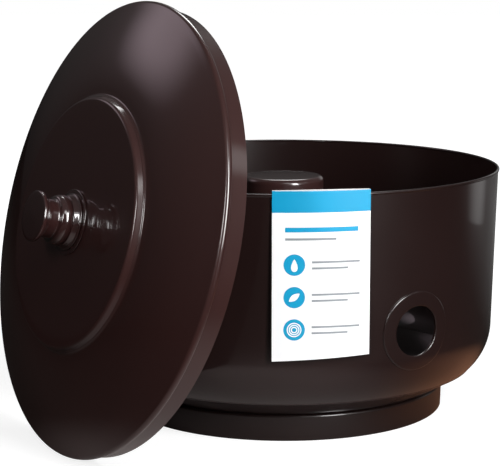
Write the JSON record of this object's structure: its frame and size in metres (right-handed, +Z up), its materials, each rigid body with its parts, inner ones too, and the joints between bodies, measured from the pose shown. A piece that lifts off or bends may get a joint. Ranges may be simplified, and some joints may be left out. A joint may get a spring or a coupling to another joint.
{
  "type": "garden hose pot",
  "caption": "Round painted steel pot for coiling a garden hose, with a centre post, a hose hole low in the wall, a base ring and a knobbed lid leaning beside it.",
  "frame": {"origin": "on the ground, under the pot's axis", "axes": "+Z up along the pot's axis; -Y is the front, where the card hangs; +X is to the right seen from the front"},
  "size_m": [0.5393, 0.6242, 0.4435],
  "materials": {
    "bowl_paint": "dark brown powder coat, satin to gloss",
    "base_paint": "dark brown powder coat, satin",
    "post_paint": "dark brown powder coat, satin to gloss",
    "lid_paint": "dark brown powder coat, satin",
    "knob_paint": "dark brown paint, gloss",
    "zinc_plate": "bright zinc plating",
    "printed_card": "coated white card with a teal band"
  },
  "bodies": {
    "pot": {"bowl_shell": "bowl_paint", "base_ring": "base_paint", "centre_post": "post_paint", "base_bolt_1": "zinc_plate", "base_bolt_2": "zinc_plate", "base_bolt_3": "zinc_plate", "base_bolt_4": "zinc_plate", "base_nut_1": "zinc_plate", "base_nut_2": "zinc_plate", "base_nut_3": "zinc_plate", "base_nut_4": "zinc_plate", "post_bolt_1": "zinc_plate", "post_bolt_2": "zinc_plate", "post_bolt_3": "zinc_plate", "post_nut_1": "zinc_plate", "post_nut_2": "zinc_plate", "post_nut_3": "zinc_plate"},
    "lid": {"lid_shell": "lid_paint", "knob_rose": "knob_paint", "knob": "knob_paint", "knob_washer": "zinc_plate", "knob_bolt": "zinc_plate"},
    "card": {"label_card": "printed_card"}
  },
  "joints": [
    {"name": "lid_lift", "type": "slide", "parent": "pot", "child": "lid", "axis": [0, 0, 1], "range_m": [0, 0.28]},
    {"name": "card_lift", "type": "slide", "parent": "pot", "child": "card", "axis": [0, 0, 1], "range_m": [0, 0.19]}
  ]
}
